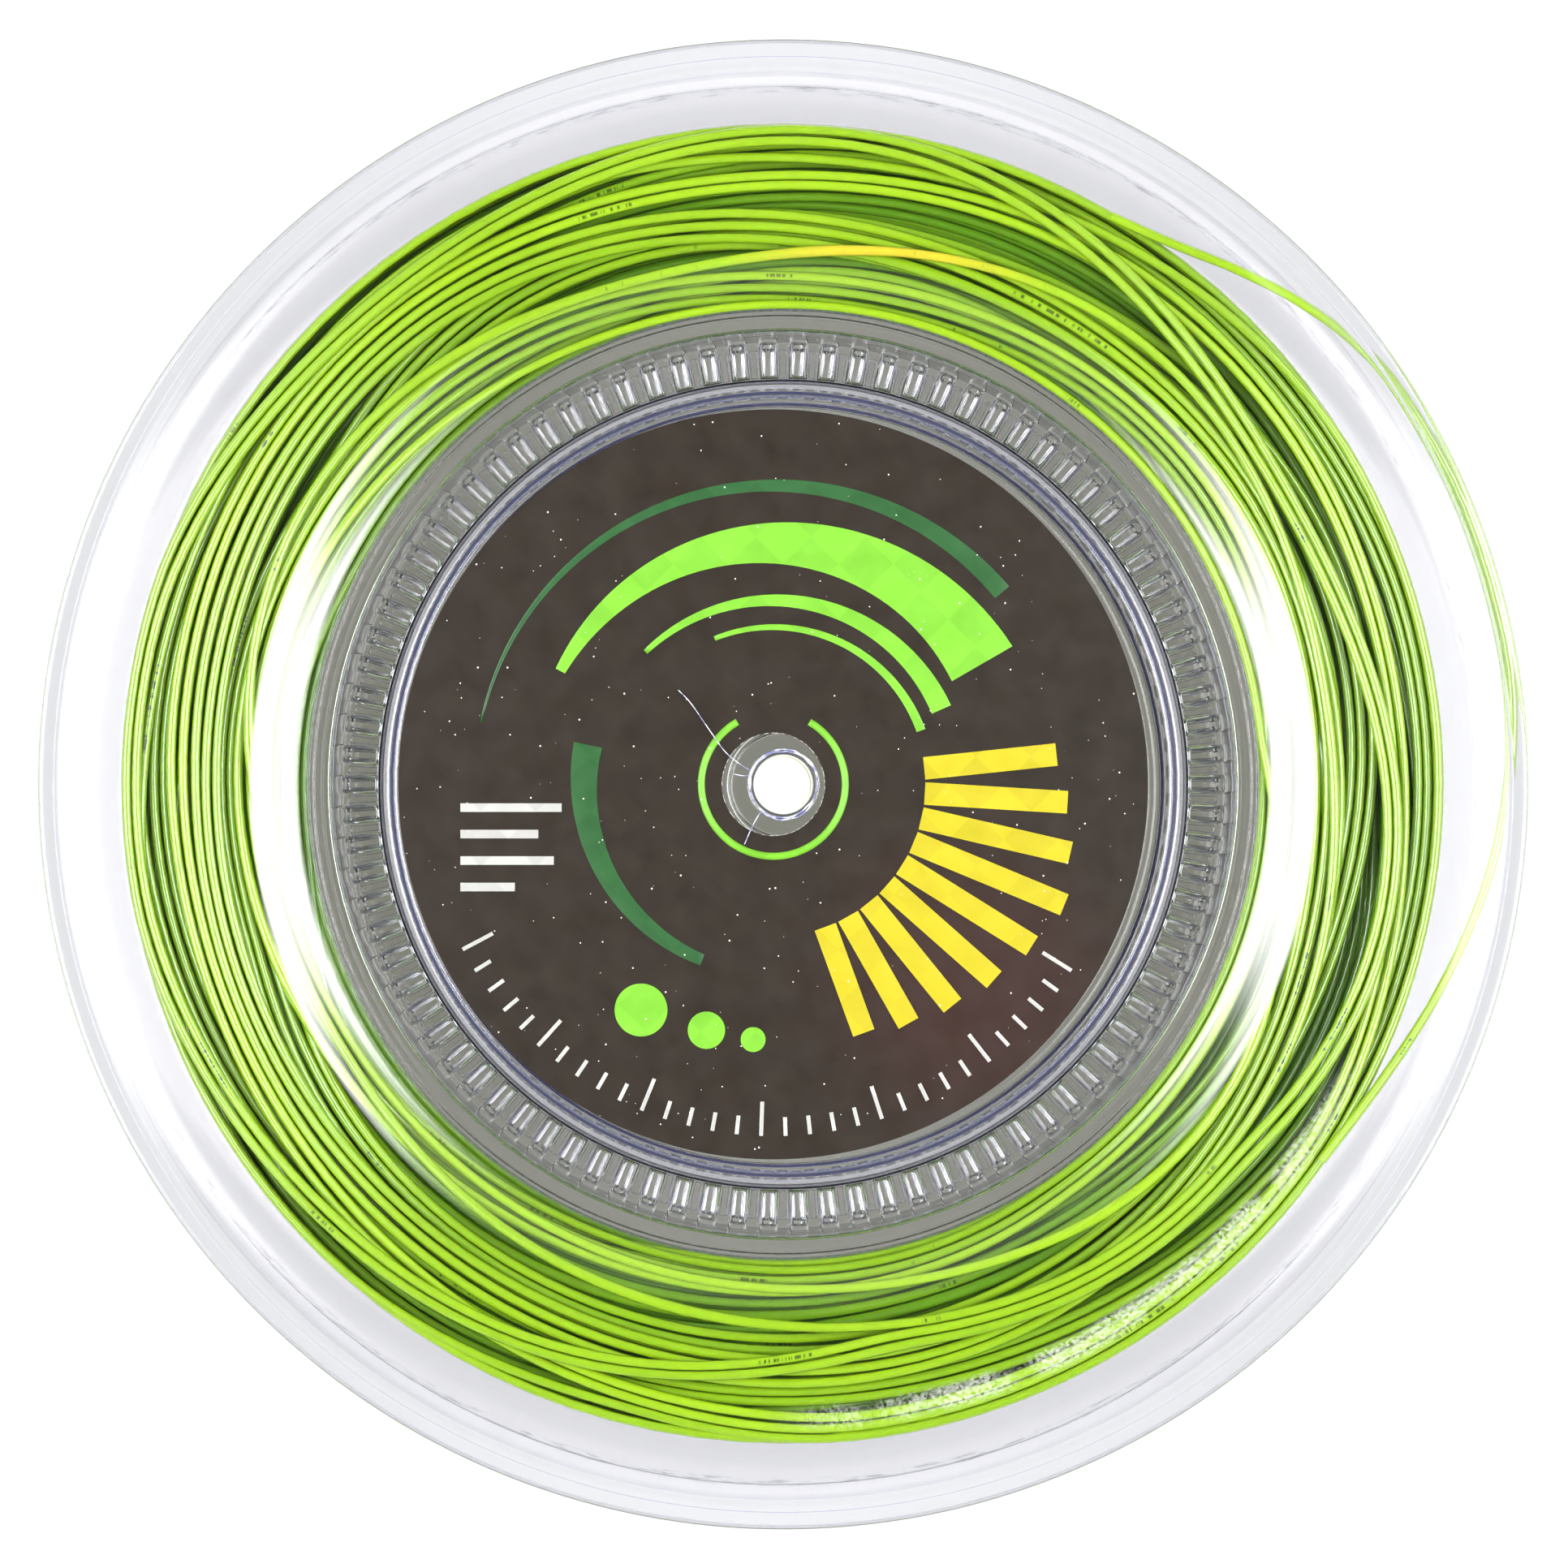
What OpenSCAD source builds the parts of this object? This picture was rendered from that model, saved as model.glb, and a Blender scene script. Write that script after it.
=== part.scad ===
// String reel: a clear spool of two toothed halves pressed together, wound with one length of
// monofilament racket string. Millimetres. The spool's axis is Z, the rear rim rests on z = 0,
// and the labelled front half faces +Z.

/* [Spool] */
// Outside diameter of both flanges
reel_diameter = 190; // [182:1:210]
// Width over both rims
reel_width = 40; // [36:0.5:50]
// Thickness of the moulded plastic
wall = 1.5; // [1:0.1:2]

/* [Rim] */
// Width of the bead around each flange
bead_width = 2.2; // [1.8:0.1:3]
// Height of the bead above the flange edge
bead_rise = 0.8; // [0.4:0.1:1.6]
// Rounding of the bead's edges
bead_round = 0.7; // [0.3:0.05:0.8]
// Width of the curved band inside the bead
flare_width = 6.1; // [4:0.1:8]
// How far the flange flares outward across that band
flare_rise = 2.4; // [1:0.1:3.5]

/* [Hub] */
// Diameter that the string is wound on
hub_diameter = 121.6; // [110:0.2:130]
// Thickness of the hub's wall
hub_wall = 2.2; // [1.4:0.1:3]
// Depth of the hub's face below the flange
recess_depth = 3.2; // [1.5:0.1:5]
// Width of the curved step down to the hub's face
recess_width = 7.2; // [4:0.1:9]
// Flat between the hub's wall and that step
recess_land = 1; // [0.4:0.1:2]

/* [Teeth] */
// Teeth on each half
tooth_count = 90; // [45:1:94]
// Width of a tooth across its faces
tooth_width = 1.6; // [1:0.05:1.7]
// Size of a tooth along the radius
tooth_depth = 4; // [2.5:0.1:5]
// Space between the teeth and the hub's wall
tooth_margin = 2.1; // [1:0.1:3]
// How far the teeth pass the middle of the reel
tooth_lap = 3; // [1:0.1:6]

/* [Label seat] */
// Flat between the teeth and the edge of the seat
seat_land = 2; // [1:0.1:3]
// Depth of the seat below the hub's face
seat_depth = 1.5; // [0.6:0.1:2.5]
// Slope of the seat's edge, measured along the radius
seat_draft = 0.5; // [0.2:0.1:1]

/* [Bore] */
// Diameter of the spindle bore
bore_diameter = 7.6; // [6:0.1:10]
// Wall of the sleeve around the bore
sleeve_wall = 3; // [2:0.1:4]
// Length of straight bore in each half
bore_land = 9; // [6:0.5:10]
// How far the bore widens at its mouth
bore_lead = 0.6; // [0.2:0.1:1.5]

/* [Label] */
// Space between the label and the edge of its seat
label_margin = 1.8; // [1.4:0.1:4]
// How far the label sits off the reel's axis
label_shift = 1.3; // [0:0.1:1.3]
// Thickness of the label
label_thickness = 0.25; // [0.15:0.05:0.5]
// Diameter of the hole in the label
label_hole = 13.2; // [11.8:0.1:20]

/* [String] */
// Diameter of the string
string_diameter = 1.25; // [1.1:0.05:1.35]
// Outside diameter of the wound string
pack_diameter = 169.6; // [150:0.2:175]
// Turns in the outermost layer
layer_loops = 18; // [8:1:18]
// Space between the wound string and the spool
string_clearance = 0.3; // [0.2:0.05:0.6]
// How far one turn beside a flange lies back behind another
face_step = 1.1; // [0:0.1:1.3]

/* [Hidden] */
$fn = 180;

// Colours of the nodes
clear_plastic = [0.86, 0.86, 0.9, 0.45];
pack_green = [0.36, 0.52, 0.1];
string_green = [0.57, 0.78, 0.18];
label_charcoal = [0.22, 0.2, 0.18];

// Heights above the middle of the reel, on the outside of a half
rim_height = reel_width / 2;
flare_height = rim_height - bead_rise;
flange_height = flare_height - flare_rise;
hub_face_height = flange_height - recess_depth;
seat_height = hub_face_height - seat_depth;

// Radii
reel_radius = reel_diameter / 2;
bead_radius = reel_radius - bead_width;
flare_radius = bead_radius - flare_width;
hub_radius = hub_diameter / 2;
step_radius = hub_radius + recess_land;
flange_radius = step_radius + recess_width;
tooth_outer = hub_radius - hub_wall - tooth_margin;
tooth_inner = tooth_outer - tooth_depth;
seat_edge = tooth_inner - seat_land;
seat_radius = seat_edge - seat_draft;
bore_radius = bore_diameter / 2;
label_radius = seat_radius - label_margin;

tooth_pitch = 360 / tooth_count;
// How far a tooth is let into the hub's face, so that the two are one solid
tooth_root = wall / 2;

// Steps along each curve of the spool's section
curve_steps = 10;
round_steps = 5;

// The outermost layer of string is a tube with a ring of points every ring_angle
rings_per_loop = 24;
turn_sides = 6;
ring_angle = 360 / rings_per_loop;
string_radius = string_diameter / 2;
layer_radius = pack_diameter / 2 - string_radius;
layer_seat_gap = 0.05;
pack_radius = (layer_radius - string_radius) * cos(ring_angle / 2) - layer_seat_gap;
pack_inner = hub_radius + string_clearance;
// The layer stops short of the front flange by the room that the loose turn takes
loose_room = 0.7;
layer_low = reel_width / 2 - flange_height + wall + string_clearance + string_radius;
layer_high = reel_width - layer_low - loose_room;
layer_pitch = (layer_high - layer_low) / layer_loops;
// Angle where the wound layer ends and the loose turn begins
release_angle = 60;

// The turns beside a flange, as many as fit between the hub and the outermost one
face_width = pack_radius - string_diameter - pack_inner;
face_turns = floor(face_width / string_diameter);
face_pitch = face_width / face_turns;
// Angles at which the round of such a turn has its points
face_angles = [-75, -25, 25, 75];
// Steps that each of them lies back from the flange, from the hub outwards
face_depths = [0, 0, 1, 0, 0, 0, 2, 1, 0, 0, 1, 0, 0, 2, 1, 0];

// The loose turn: angle, lift off the layer and height above the end of the layer
loose_route = [
    [60, 0, 0], [54, 1.4, 0.1], [48, 4.2, 0.3], [43, 6.6, 0.6], [38, 8.5, 1], [32, 9.6, 1.5],
    [22, 10.1, 1.8], [11, 10.1, 1.8], [3, 9.3, 1.6], [-5, 7.8, 1.2], [-12, 5.8, 0.9],
    [-19, 3.6, 0.7], [-27, 1.3, 0.6], [-35, 0, 0.5]
];
loose_sides = 8;
loose_steps = 4;

// ---- Section of one half, as points [radius, height] ----

// A smooth step from one point to another, level at both ends
function step_curve(a, b) = [
    for (i = [0 : curve_steps])
        let (t = i / curve_steps)
        [a.x + (b.x - a.x) * t, a.y + (b.y - a.y) * (1 - cos(180 * t)) / 2]
];

// A curve that leaves the first point level and steepens towards the second
function flare_curve(a, b) = [
    for (i = [0 : curve_steps])
        let (t = i / curve_steps)
        [a.x + (b.x - a.x) * t, a.y + (b.y - a.y) * (1 - cos(90 * t))]
];

// A quarter round about a centre, clockwise from a start angle
function round_curve(centre, radius, start) = [
    for (i = [0 : round_steps])
        let (angle = start - 90 * i / round_steps)
        centre + radius * [cos(angle), sin(angle)]
];

function reversed(list) = [for (i = [len(list) - 1 : -1 : 0]) list[i]];

function lowered(points, drop) = [for (p = points) [p.x, p.y - drop]];

// Height of the flange's inner face at a radius inside the flare
function flange_inside(radius) =
    let (t = max(0, min(1, (radius - step_radius) / recess_width)))
    hub_face_height + (flange_height - hub_face_height) * (1 - cos(180 * t)) / 2 - wall;

// Height of a turn of string that clears the flange on every side of it
function turn_height(radius) = min([
    for (a = [-80 : 20 : 80])
        flange_inside(radius + string_radius * sin(a)) - string_clearance - string_radius * cos(a)
]);

flange_step = step_curve([step_radius, hub_face_height], [flange_radius, flange_height]);
flange_flare = flare_curve([flare_radius, flange_height], [bead_radius, flare_height]);

bore_section = [
    [bore_radius, 0],
    [bore_radius, bore_land],
    [bore_radius + bore_lead, seat_height]
];

outer_section = concat(
    [[seat_radius, seat_height], [seat_edge, hub_face_height]],
    flange_step,
    flange_flare,
    round_curve([bead_radius + bead_round, rim_height - bead_round], bead_round, 180),
    round_curve([reel_radius - bead_round, rim_height - bead_round], bead_round, 90),
    round_curve([reel_radius - bead_round, flare_height - wall + bead_round], bead_round, 0)
);

inner_section = concat(
    reversed(lowered(flange_flare, wall)),
    reversed(lowered(flange_step, wall)),
    [
        [hub_radius, hub_face_height - wall],
        [hub_radius, 0],
        [hub_radius - hub_wall, 0],
        [hub_radius - hub_wall, hub_face_height - wall],
        [seat_edge + wall, hub_face_height - wall],
        [seat_radius + wall, seat_height - wall],
        [bore_radius + sleeve_wall, seat_height - wall],
        [bore_radius + sleeve_wall, 0]
    ]
);

// ---- Tubes that follow a path ----

function unit(v) = v / norm(v);

// Direction of a path at one of its inner points, square to the mitre there
function path_direction(path, i) = unit(unit(path[i] - path[i - 1]) + unit(path[i + 1] - path[i]));

// One ring of points, stretched across the bend so that the tube keeps its width
function tube_ring(path, i, radius, sides) =
    let (
        along = path_direction(path, i),
        stretch = 1 / (along * unit(path[i] - path[i - 1])),
        across = unit(cross([0, 0, 1], along)),
        up = cross(along, across)
    )
    [
        for (j = [0 : sides - 1])
            let (angle = 360 * j / sides)
            path[i] + radius * (across * cos(angle) * stretch + up * sin(angle))
    ];

// The first and last points of a path only aim the tube's ends
function tube_rings(path, radius, sides) = [
    for (i = [1 : len(path) - 2]) tube_ring(path, i, radius, sides)
];

function side_faces(rings, sides) = [
    for (i = [0 : rings - 2], j = [0 : sides - 1])
        let (
            a = i * sides + j,
            b = i * sides + (j + 1) % sides
        )
        each [[a, b + sides, b], [a, a + sides, b + sides]]
];

function end_faces(rings, sides) = [
    for (j = [1 : sides - 2])
        let (last = (rings - 1) * sides)
        each [[0, j, j + 1], [last, last + j + 1, last + j]]
];

module tube(path, radius, sides) {
    rings = tube_rings(path, radius, sides);
    points = [for (ring = rings) each ring];
    polyhedron(points, concat(side_faces(len(rings), sides), end_faces(len(rings), sides)));
}

function around(angle, radius, height) = [radius * cos(angle), radius * sin(angle), height];

// ---- Paths of the string ----

// Point on the outermost layer, counted in rings from its rear end
function layer_point(i) = around(
    release_angle - i * ring_angle,
    layer_radius,
    layer_low + i * layer_pitch / rings_per_loop
);

// The layer comes straight up out of the pack for one string diameter, then winds forward
rise_start = around(release_angle, pack_radius, layer_low);
rise_end = around(release_angle, pack_radius + string_diameter, layer_low);
below_start = around(release_angle, pack_radius - string_diameter, layer_low);
layer_path = concat(
    [below_start, rise_start, rise_end],
    [for (i = [1 : layer_loops * rings_per_loop + 1]) layer_point(i)]
);

function route_point(i) = around(
    loose_route[i][0],
    layer_radius + loose_route[i][1],
    layer_high + loose_route[i][2]
);

// A smooth curve through route points b and c, with a and d as the neighbours
function spline_point(a, b, c, d, t) =
    b + 0.5 * t * (c - a + t * (2 * a - 5 * b + 4 * c - d + t * (3 * (b - c) + d - a)));

loose_last = len(loose_route) - 1;
before_release = around(loose_route[0][0] + ring_angle / 2, layer_radius, layer_high);
after_return = around(loose_route[loose_last][0] - ring_angle / 2, layer_radius,
    layer_high + loose_route[loose_last][2]);
loose_stops = concat(
    [before_release],
    [for (i = [0 : loose_last]) route_point(i)],
    [after_return]
);
loose_path = concat(
    [before_release],
    [
        for (i = [1 : len(loose_stops) - 3], k = [0 : loose_steps - 1])
            spline_point(loose_stops[i - 1], loose_stops[i], loose_stops[i + 1],
                loose_stops[i + 2], k / loose_steps)
    ],
    [loose_stops[len(loose_stops) - 2], after_return]
);

// Least distance between the points of neighbouring turns
layer_rings = tube_rings(layer_path, string_radius, turn_sides);
least_gap = min([
    for (i = [0 : len(layer_rings) - 1 - rings_per_loop], p = layer_rings[i])
        min([for (q = layer_rings[i + rings_per_loop]) norm(p - q)])
]);
echo(str("Least gap between turns of string: ", least_gap, " mm"));

// Length of a path between its first and last inner points
function path_length(path) = norm(path[2] - path[1]) + (len(path) > 4
    ? path_length([for (i = [1 : len(path) - 1]) path[i]]) : 0);
echo(str("Length of the loose turn: ", path_length(loose_path), " mm"));

// ---- Pieces ----

module tooth() {
    translate([tooth_inner, -tooth_width / 2, -tooth_lap])
        cube([tooth_depth, tooth_width, tooth_lap + hub_face_height - wall + tooth_root]);
}

// One moulding with the middle of the reel at z = 0: flange, hub wall, seat, sleeve and teeth
module spool_half() {
    rotate_extrude() polygon(concat(bore_section, outer_section, inner_section));
    for (i = [0 : tooth_count - 1]) {
        rotate(i * tooth_pitch) tooth();
    }
}

module front_half() {
    color(clear_plastic) translate([0, 0, reel_width / 2]) spool_half();
}

// The same moulding turned over, half a tooth round, so that its teeth fill the front's gaps
module rear_half() {
    color(clear_plastic)
        translate([0, 0, reel_width / 2])
        rotate([180, 0, tooth_pitch / 2])
        spool_half();
}

// The inner layers, which fill the space between the flanges; the turns that lie beside each
// flange stand out as round ribs
module string_pack() {
    ribs = [
        for (i = [0 : face_turns - 1])
            let (
                radius = pack_inner + (i + 0.5) * face_pitch,
                back = face_step * face_depths[i % len(face_depths)],
                height = turn_height(radius) - back
            )
            for (a = face_angles) [radius + string_radius * sin(a), height + string_radius * cos(a)]
    ];
    edge_height = flange_height - wall - string_clearance;
    section = concat(
        [[pack_inner, ribs[0].y]],
        ribs,
        [[pack_radius - string_diameter, edge_height], [pack_radius, edge_height]]
    );
    mirrored = [for (p = reversed(section)) [p.x, -p.y]];
    color(pack_green)
        translate([0, 0, reel_width / 2])
        rotate_extrude()
        polygon(concat(section, mirrored));
}

module string_turns() {
    color(string_green) tube(layer_path, string_radius, turn_sides);
}

module loose_turn() {
    color(string_green) tube(loose_path, string_radius, loose_sides);
}

module label() {
    color(label_charcoal)
        translate([0, 0, reel_width / 2 + seat_height])
        difference() {
            translate([-label_shift, 0, 0]) cylinder(h = label_thickness, r = label_radius);
            translate([-label_shift, 0, -label_thickness])
                cylinder(h = 3 * label_thickness, d = label_hole);
        }
}

front_half();
rear_half();
string_pack();
string_turns();
loose_turn();
label();
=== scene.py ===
"""A clear two-part reel wound with lime green racket string."""

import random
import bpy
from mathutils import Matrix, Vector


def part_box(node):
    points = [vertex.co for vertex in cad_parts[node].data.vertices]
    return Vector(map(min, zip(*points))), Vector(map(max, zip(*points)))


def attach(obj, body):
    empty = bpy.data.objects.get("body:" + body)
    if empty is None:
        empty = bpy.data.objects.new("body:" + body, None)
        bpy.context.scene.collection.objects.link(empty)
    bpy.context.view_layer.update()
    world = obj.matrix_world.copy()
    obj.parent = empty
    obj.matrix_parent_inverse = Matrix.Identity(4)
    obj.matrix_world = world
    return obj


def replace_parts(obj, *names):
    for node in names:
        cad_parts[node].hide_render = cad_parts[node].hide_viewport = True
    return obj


bl_info = {
    "name": "String Reel",
    "version": (1, 0, 0),
    "blender": (4, 5, 0),
    "location": "View3D > Sidebar > Reel",
    "description": "Dresses the packed string reel: clear spool, wound string and label",
    "category": "Object",
}

from functools import reduce
from math import atan2, cos, exp, hypot, pi, radians, sin

import bmesh
import bpy
from bpy.props import FloatProperty, FloatVectorProperty, IntProperty, PointerProperty
from mathutils import Matrix, Vector

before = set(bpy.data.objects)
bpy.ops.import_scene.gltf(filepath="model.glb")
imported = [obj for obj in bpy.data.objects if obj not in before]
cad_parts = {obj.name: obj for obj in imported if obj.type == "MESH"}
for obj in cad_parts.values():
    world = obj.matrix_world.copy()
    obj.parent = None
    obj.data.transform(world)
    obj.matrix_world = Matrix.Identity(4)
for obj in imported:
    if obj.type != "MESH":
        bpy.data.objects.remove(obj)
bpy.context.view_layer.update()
REEL_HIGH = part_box("front_half")[1]
REAR_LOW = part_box("rear_half")[0]
BODY = "root"
MM = 0.001

# Brightness of the softboxes, the walls, the ceiling and the light table, in watts per
# steradian and square metre
SOFTBOX_RADIANCE = 15.0
WALL_RADIANCE = 0.75
CEILING_RADIANCE = 0.03
TABLE_RADIANCE = 0.55

# The softboxes' width and length, and how far to each side and how high they hang
SOFTBOX_SIZE = (1.25, 1.1)
SOFTBOX_SIDE = 0.68
SOFTBOX_HEIGHT = 0.77

# Half the width of the square floor
FLOOR_REACH = 3.0

# The lens, in millimetres on a sensor 36 mm wide, where it stands and what it looks at
SENSOR_WIDTH = 36
LENS = 156.8
CAMERA_PLACE = (-0.008, -0.004, 0.91)
CAMERA_AIM = (0, 0, 0.04)


def linear(hex_colour):
    """An sRGB hex colour as linear red, green and blue."""
    values = (int(hex_colour[i : i + 2], 16) / 255 for i in (1, 3, 5))
    return tuple(v / 12.92 if v <= 0.04045 else ((v + 0.055) / 1.055) ** 2.4 for v in values)


def rgba(colour):
    return (*colour, 1.0)


def ink(hex_colour):
    """An sRGB hex colour as a shader takes it."""
    return rgba(linear(hex_colour))


# ---- Sizes and colours ----


def size(name, description, millimetres):
    return FloatProperty(
        name=name,
        description=description,
        default=millimetres * MM,
        min=0.0,
        unit="LENGTH",
        subtype="DISTANCE",
    )


def tint(name, description, hex_colour):
    return FloatVectorProperty(
        name=name,
        description=description,
        default=linear(hex_colour),
        size=3,
        min=0.0,
        max=1.0,
        subtype="COLOR",
    )


class SpoolSizes(bpy.types.PropertyGroup):
    reel_radius: size("Reel radius", "Outside radius of both flanges", REEL_HIGH[0] / MM)
    reel_width: size("Reel width", "Width over both rims", (REEL_HIGH[2] - REAR_LOW[2]) / MM)
    wall: size("Wall", "Thickness of the moulded plastic", 1.5)
    bead_width: size("Bead width", "Width of the bead around each flange", 2.2)
    bead_rise: size("Bead rise", "Height of the bead above the flange edge", 0.8)
    bead_round: size("Bead rounding", "Rounding of the bead's edges", 0.7)
    flare_width: size("Flare width", "Width of the curved band inside the bead", 6.1)
    flare_rise: size("Flare rise", "How far the flange flares outward across that band", 2.4)
    hub_radius: size("Hub radius", "Radius that the string is wound on", 60.8)
    hub_wall: size("Hub wall", "Thickness of the hub's wall", 2.2)
    recess_depth: size("Recess depth", "Depth of the hub's face below the flange", 3.2)
    recess_width: size("Step width", "Width of the curved step down to the hub's face", 7.2)
    recess_land: size("Step land", "Flat between the hub's wall and that step", 1.0)
    tooth_depth: size("Tooth depth", "Size of a tooth along the radius", 4.0)
    tooth_margin: size("Tooth margin", "Space between the teeth and the hub's wall", 2.1)
    tooth_lap: size("Tooth lap", "How far the teeth pass the middle of the reel", 3.0)
    seat_land: size("Seat land", "Flat between the teeth and the edge of the label's seat", 2.0)
    seat_depth: size("Seat depth", "Depth of the label's seat below the hub's face", 1.5)
    seat_draft: size("Seat draft", "Slope of the seat's edge, along the radius", 0.5)
    bore_radius: size("Bore radius", "Radius of the spindle bore", 3.8)
    sleeve_wall: size("Sleeve wall", "Wall of the sleeve around the bore", 3.0)
    bore_land: size("Bore land", "Length of straight bore in each half", 9.0)
    bore_lead: size("Bore lead", "How far the bore widens at its mouth", 0.6)
    tooth_count: IntProperty(name="Teeth", description="Teeth on each half", default=90, min=12)


class StringSizes(bpy.types.PropertyGroup):
    diameter: size("String diameter", "Diameter of the racket string", 1.25)
    layer_radius: size("Layer radius", "Radius to the middle of the outermost turns", 84.175)
    layer_low: size("Layer start", "Height of the first outermost turn", 5.625)
    layer_high: size("Layer end", "Height of the last outermost turn", 33.675)
    clearance: size("Clearance", "Space between the string and the spool", 0.3)
    release_angle: FloatProperty(
        name="Release angle",
        description="Direction from the axis where the loose turn leaves the winding",
        default=radians(60),
        subtype="ANGLE",
    )
    layer_loops: IntProperty(
        name="Outer turns", description="Turns in the outermost layer", default=22, min=1
    )
    gold_radius: size("Golden radius", "Radius of the golden stretch of a strand", 71)


class LabelSizes(bpy.types.PropertyGroup):
    radius: size("Label radius", "Radius of the label", 48.2)
    hole_radius: size("Hole radius", "Radius of the hole in the label", 6.6)
    thickness: size("Label thickness", "Thickness of the label", 0.25)
    shift: size("Label shift", "How far the label sits off the axis, towards -X", 1.3)
    print_rise: size("Print rise", "Height of the print above the label's face", 0.05)


class ReelColours(bpy.types.PropertyGroup):
    string_light: tint("String, light", "Lit colour of the string", "#6F8D0B")
    string_dark: tint("String, dark", "Deeper colour of the string", "#3F630A")
    string_gold: tint("String, golden", "Colour of the golden stretch", "#988C1C")
    label_ground: tint("Label ground", "Printed charcoal of the label", "#171008")
    label_glow: tint("Label glow", "Warm brown that the charcoal turns to", "#24100C")
    label_lime: tint("Label lime", "Lime print on the label", "#558A20")
    label_green: tint("Label green", "Deep green print on the label", "#183F1C")
    label_yellow: tint("Label yellow", "Yellow print on the label", "#8A800F")
    label_white: tint("Label white", "White print on the label", "#868683")
    floor: tint("Floor", "Colour of the studio floor", "#747474")


# ---- Meshes ----

# Copies round the axis that a plain ring or disc is made of
SECTORS = 45


def around(angle, radius, height):
    """The point at an angle, a radius and a height round the axis of the reel."""
    return Vector((radius * cos(angle), radius * sin(angle), height))


def rounded(corners, steps=4):
    """Round the corners of a closed section; each corner is (radius, height, rounding)."""
    points = []
    for i, (x, y, rounding) in enumerate(corners):
        here = Vector((x, y))
        if not rounding:
            points.append(here)
            continue
        before = Vector(corners[i - 1][:2]) - here
        after = Vector(corners[(i + 1) % len(corners)][:2]) - here
        reach = min(rounding, before.length * 0.49, after.length * 0.49)
        before, after = before.normalized() * reach, after.normalized() * reach
        for k in range(steps + 1):
            t = k / steps
            points.append(here + before * (1 - t) ** 2 + after * t**2)
    return points


def sweep(bm, section, start, angle, steps):
    """Spin a closed section of (radius, height) from a start part of the way round the axis."""
    verts = [bm.verts.new(around(start, radius, height)) for radius, height in section]
    edges = [bm.edges.new(pair) for pair in zip(verts, verts[1:] + verts[:1])]
    bmesh.ops.spin(
        bm, geom=verts + edges, axis=(0, 0, 1), cent=(0, 0, 0), angle=angle, steps=steps
    )


def sector(section, angle, steps):
    """A bmesh of a section spun through an angle, half of it on each side of the X axis."""
    bm = bmesh.new()
    sweep(bm, section, -angle / 2, angle, steps)
    return bm


def ringed(bm, count):
    """Copy a sector all the way round the axis and join the copies into one closed body."""
    bmesh.ops.spin(
        bm,
        geom=[*bm.verts, *bm.edges, *bm.faces],
        axis=(0, 0, 1),
        cent=(0, 0, 0),
        angle=2 * pi * (count - 1) / count,
        steps=count - 1,
        use_duplicate=True,
    )
    bmesh.ops.remove_doubles(bm, verts=bm.verts, dist=0.001 * MM)
    bmesh.ops.recalc_face_normals(bm, faces=bm.faces)
    return bm


def revolved(section):
    """A closed bmesh of a section that has the same shape all the way round."""
    return ringed(sector(section, 2 * pi / SECTORS, 4), SECTORS)


def piece_from(bm, name, material):
    """A smooth-shaded object at the origin that rides on the reel."""
    mesh = bpy.data.meshes.new(name)
    bm.to_mesh(mesh)
    bm.free()
    return placed(mesh, name, material)


def placed(mesh, name, material):
    """The object of a mesh, with its material and slot, riding on the reel."""
    mesh.name = name
    mesh.materials.clear()
    mesh.materials.append(material)
    mesh.shade_smooth()
    piece = bpy.data.objects.new(name, mesh)
    bpy.context.collection.objects.link(piece)
    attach(piece, BODY)
    return piece


def even_shading(piece):
    """Keep the rounded edges from bending the light on the flats beside them."""
    modifier = piece.modifiers.new("Weighted normals", "WEIGHTED_NORMAL")
    modifier.mode = "FACE_AREA"
    modifier.weight = 80
    modifier.keep_sharp = False


def tube_curve(name, paths, diameter, closed, ring=2):
    """A curve object of one tube along each path."""
    curve = bpy.data.curves.new(name, "CURVE")
    curve.dimensions = "3D"
    curve.twist_mode = "Z_UP"
    curve.bevel_depth = diameter / 2
    curve.bevel_resolution = ring
    curve.use_fill_caps = not closed
    for path in paths:
        spline = curve.splines.new("POLY")
        spline.points.add(len(path) - 1)
        spline.points.foreach_set("co", [c for p in path for c in (*p, 1.0)])
        spline.use_cyclic_u = closed
        spline.use_smooth = True
    return bpy.data.objects.new(name, curve)


def tubes(name, paths, diameter, closed, material, tones=None, ring=2):
    """One mesh of a tube along each path; tones holds a value for each point of each path."""
    maker = tube_curve(name, paths, diameter, closed, ring)
    bpy.context.collection.objects.link(maker)
    graph = bpy.context.evaluated_depsgraph_get()
    mesh = bpy.data.meshes.new_from_object(maker.evaluated_get(graph))
    bpy.data.objects.remove(maker)
    if tones:
        sides = len(mesh.vertices) // sum(len(path) for path in paths)
        values = [tone for row in tones for tone in row for _ in range(sides)]
        values += [0.5] * (len(mesh.vertices) - len(values))
        mesh.attributes.new("tone", "FLOAT", "POINT").data.foreach_set("value", values)
    return placed(mesh, name, material)


# ---- Shader nodes ----


def add(tree, kind, inputs=None, **settings):
    """Add a node with its settings; inputs holds a value or the output that feeds a socket."""
    made = tree.nodes.new(kind)
    for name, value in settings.items():
        setattr(made, name, value)
    for socket, value in (inputs or {}).items():
        if isinstance(value, bpy.types.NodeSocket):
            tree.links.new(value, made.inputs[socket])
        else:
            made.inputs[socket].default_value = value
    return made


def maths(tree, operation, *values, clamp=False):
    """The result of one step of arithmetic."""
    inputs = dict(enumerate(values))
    return add(tree, "ShaderNodeMath", inputs, operation=operation, use_clamp=clamp).outputs[0]


def product(tree, *shares):
    """All the shares multiplied together."""
    return reduce(lambda first, second: maths(tree, "MULTIPLY", first, second), shares)


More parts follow.
